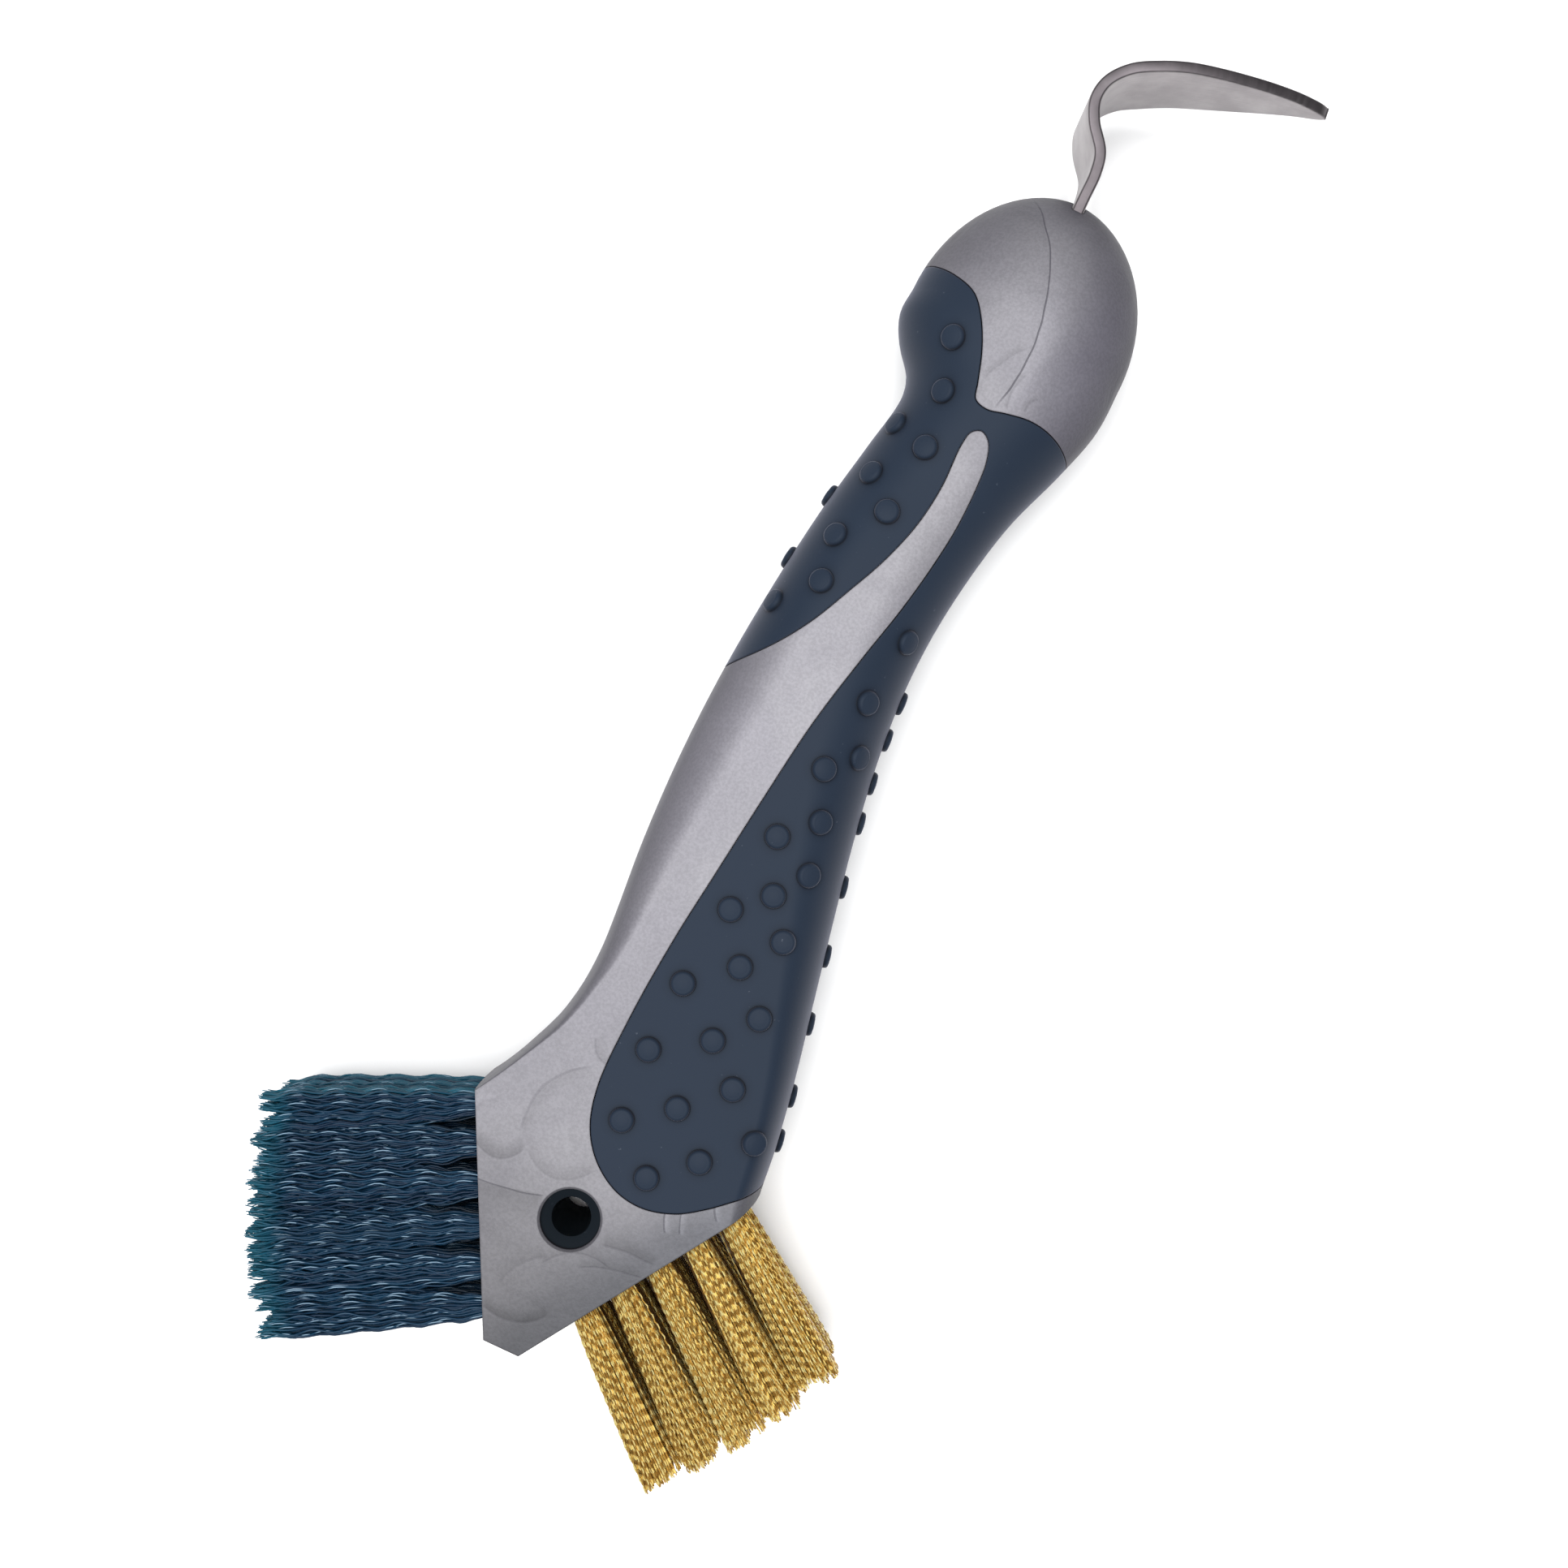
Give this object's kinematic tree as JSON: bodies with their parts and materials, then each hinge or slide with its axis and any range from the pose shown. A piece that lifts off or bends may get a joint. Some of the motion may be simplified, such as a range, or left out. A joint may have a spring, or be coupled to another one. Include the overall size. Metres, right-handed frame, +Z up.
{
  "type": "hoof pick",
  "caption": "Hoof pick with a rubber-gripped moulded handle, a hooked steel pick and two brushes, one nylon and one brass, at its foot.",
  "frame": {"origin": "centre of the bounding box's bottom face, with the tool lying on its side", "axes": "+Y along the handle from the brushes to the pick, +X the side that the pick's tip points to, +Z up through the handle's thickness"},
  "size_m": [0.0954, 0.234, 0.028],
  "materials": {
    "handle_plastic": "marbled metallic grey, satin",
    "grip_rubber": "satin",
    "pick_steel": "satin",
    "nylon_bristle": "crimped filament",
    "brass_bristle": "fine bright wire",
    "anchor_wire": "drawn wire"
  },
  "bodies": {
    "root": {"handle_core": "handle_plastic", "grip_overmould": "grip_rubber", "hang_hole_sleeve": "grip_rubber", "pick_blade": "pick_steel", "nylon_tuft_01": "nylon_bristle", "nylon_anchor_01": "anchor_wire", "nylon_tuft_02": "nylon_bristle", "nylon_anchor_02": "anchor_wire", "nylon_tuft_03": "nylon_bristle", "nylon_anchor_03": "anchor_wire", "nylon_tuft_04": "nylon_bristle", "nylon_anchor_04": "anchor_wire", "nylon_tuft_05": "nylon_bristle", "nylon_anchor_05": "anchor_wire", "nylon_tuft_06": "nylon_bristle", "nylon_anchor_06": "anchor_wire", "nylon_tuft_07": "nylon_bristle", "nylon_anchor_07": "anchor_wire", "nylon_tuft_08": "nylon_bristle", "nylon_anchor_08": "anchor_wire", "nylon_tuft_09": "nylon_bristle", "nylon_anchor_09": "anchor_wire", "nylon_tuft_10": "nylon_bristle", "nylon_anchor_10": "anchor_wire", "nylon_tuft_11": "nylon_bristle", "nylon_anchor_11": "anchor_wire", "nylon_tuft_12": "nylon_bristle", "nylon_anchor_12": "anchor_wire", "nylon_tuft_13": "nylon_bristle", "nylon_anchor_13": "anchor_wire", "nylon_tuft_14": "nylon_bristle", "nylon_anchor_14": "anchor_wire", "nylon_tuft_15": "nylon_bristle", "nylon_anchor_15": "anchor_wire", "nylon_tuft_16": "nylon_bristle", "nylon_anchor_16": "anchor_wire", "nylon_tuft_17": "nylon_bristle", "nylon_anchor_17": "anchor_wire", "nylon_tuft_18": "nylon_bristle", "nylon_anchor_18": "anchor_wire", "brass_tuft_01": "brass_bristle", "brass_anchor_01": "anchor_wire", "brass_tuft_02": "brass_bristle", "brass_anchor_02": "anchor_wire", "brass_tuft_03": "brass_bristle", "brass_anchor_03": "anchor_wire", "brass_tuft_04": "brass_bristle", "brass_anchor_04": "anchor_wire", "brass_tuft_05": "brass_bristle", "brass_anchor_05": "anchor_wire", "brass_tuft_06": "brass_bristle", "brass_anchor_06": "anchor_wire", "brass_tuft_07": "brass_bristle", "brass_anchor_07": "anchor_wire", "brass_tuft_08": "brass_bristle", "brass_anchor_08": "anchor_wire", "brass_tuft_09": "brass_bristle", "brass_anchor_09": "anchor_wire", "brass_tuft_10": "brass_bristle", "brass_anchor_10": "anchor_wire"}
  },
  "joints": []
}
